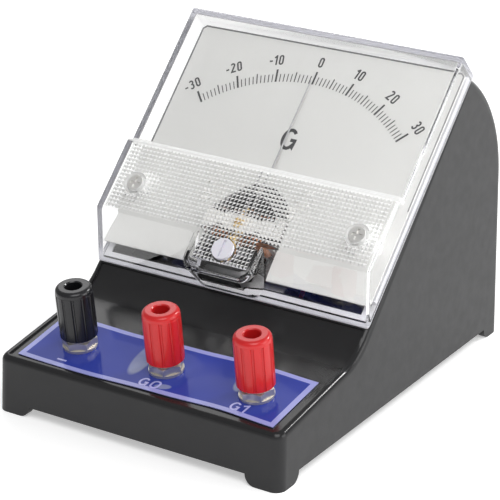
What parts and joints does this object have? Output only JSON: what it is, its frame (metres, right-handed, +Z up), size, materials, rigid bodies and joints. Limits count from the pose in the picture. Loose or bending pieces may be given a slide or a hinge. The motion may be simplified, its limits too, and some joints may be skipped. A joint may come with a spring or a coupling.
{
  "type": "galvanometer",
  "caption": "Desk galvanometer: sloping dial under a clear cover, screw terminals with plug sockets on a front deck, and a sprung moving coil with a zero-setting screw.",
  "frame": {"origin": "centre of the footprint, on the surface the feet stand on", "axes": "+X to the reader's right, +Y to the back, +Z up"},
  "size_m": [0.098, 0.1352, 0.0996],
  "materials": {
    "case_black": "semi-gloss moulded black plastic",
    "base_black": "satin black plastic",
    "label_blue": "glossy printed film, blue with a pale lavender border and marks",
    "cap_black": "polished black plastic",
    "cap_red": "polished red plastic",
    "nickel": "bright nickel plate",
    "steel": "zinc-plated steel",
    "brass": "machined brass",
    "clear_cover": "clear polished plastic, pyramid texture on the lower band",
    "frame_white": "white moulded plastic",
    "dial": "silvery grey with dark grey print",
    "iron": "blackened soft iron",
    "magnet": "ground alloy magnet",
    "aluminium": "thin drawn aluminium",
    "copper": "enamelled copper wire and bronze",
    "pointer_grey": "grey lacquered aluminium",
    "screw_white": "white moulded plastic",
    "resistor": "lacquered body with colour bands",
    "wire_black": "black insulation",
    "wire_red": "red insulation"
  },
  "bodies": {
    "case": {"case_shell": "case_black", "base_plate": "base_black", "base_screws": "steel", "terminal_label": "label_blue", "post_collars": "nickel", "post_washers": "steel", "clamp_nuts": "brass", "lock_nuts": "brass", "solder_lugs": "brass", "clear_cover": "clear_cover", "cover_screws": "steel", "meter_frame": "frame_white", "meter_screws": "steel", "shoe_screws": "steel", "dial_plate": "dial", "dial_screws": "steel", "pointer_stops": "steel", "pole_shoe_left": "iron", "pole_shoe_right": "iron", "magnet": "magnet", "core": "iron", "core_bracket": "aluminium", "front_bridge": "steel", "rear_bridge": "brass", "front_jewel_screw": "brass", "rear_jewel_screw": "brass", "series_resistor": "resistor", "connection_tags": "brass", "lead_common": "wire_black", "lead_low": "wire_red", "post_stud_common": "nickel", "post_stud_low": "nickel", "post_stud_high": "nickel"},
    "washer_common": {"clamp_washer_common": "nickel"},
    "cap_common": {"post_cap_common": "cap_black", "cap_insert_common": "brass"},
    "washer_low": {"clamp_washer_low": "nickel"},
    "cap_low": {"post_cap_low": "cap_red", "cap_insert_low": "brass"},
    "washer_high": {"clamp_washer_high": "nickel"},
    "cap_high": {"post_cap_high": "cap_red", "cap_insert_high": "brass"},
    "zero_screw": {"zero_screw": "screw_white"},
    "zero_arm": {"zero_arm": "brass"},
    "moving_coil": {"coil_former": "aluminium", "coil_winding": "copper", "front_staff": "steel", "rear_staff": "steel", "pointer": "pointer_grey", "balance_weights": "copper", "front_hairspring": "copper", "rear_hairspring": "copper"}
  },
  "joints": [
    {"name": "cap_common_travel", "type": "slide", "parent": "case", "child": "washer_common", "axis": [0, -0.1525, 0.9883], "range_m": [0, 0.004]},
    {"name": "cap_common_turn", "type": "hinge", "parent": "washer_common", "child": "cap_common", "pos_m": [-0.0298, -0.05236, 0.02331], "axis": [0, -0.1525, 0.9883], "range_deg": [0, 1800]},
    {"name": "cap_low_travel", "type": "slide", "parent": "case", "child": "washer_low", "axis": [0, -0.1525, 0.9883], "range_m": [0, 0.004]},
    {"name": "cap_low_turn", "type": "hinge", "parent": "washer_low", "child": "cap_low", "pos_m": [0.0008, -0.05236, 0.02331], "axis": [0, -0.1525, 0.9883], "range_deg": [0, 1800]},
    {"name": "cap_high_travel", "type": "slide", "parent": "case", "child": "washer_high", "axis": [0, -0.1525, 0.9883], "range_m": [0, 0.004]},
    {"name": "cap_high_turn", "type": "hinge", "parent": "washer_high", "child": "cap_high", "pos_m": [0.0314, -0.05236, 0.02331], "axis": [0, -0.1525, 0.9883], "range_deg": [0, 1800]},
    {"name": "zero_screw_turn", "type": "hinge", "parent": "case", "child": "zero_screw", "pos_m": [0, -0.02056, 0.04591], "axis": [0, 0.7096, -0.7046], "range_deg": [-45, 45]},
    {"name": "zero_arm_swing", "type": "hinge", "parent": "case", "child": "zero_arm", "pos_m": [0, -0.01011, 0.04955], "axis": [0, 0.7096, -0.7046], "range_deg": [-4.5, 4.5]},
    {"name": "pointer_swing", "type": "hinge", "parent": "zero_arm", "child": "moving_coil", "pos_m": [0, -0.00841, 0.04786], "axis": [0, 0.7096, -0.7046], "range_deg": [-42.5, 42.5], "stiffness_Nm_per_rad": 0.00003, "deforming": ["front_hairspring", "rear_hairspring"]}
  ],
  "couplings": [
    {"joint": "cap_common_turn", "follows": "cap_common_travel", "rad_per_m": 7854},
    {"joint": "cap_low_turn", "follows": "cap_low_travel", "rad_per_m": 7854},
    {"joint": "cap_high_turn", "follows": "cap_high_travel", "rad_per_m": 7854},
    {"joint": "zero_arm_swing", "follows": "zero_screw_turn", "ratio": 0.1}
  ]
}
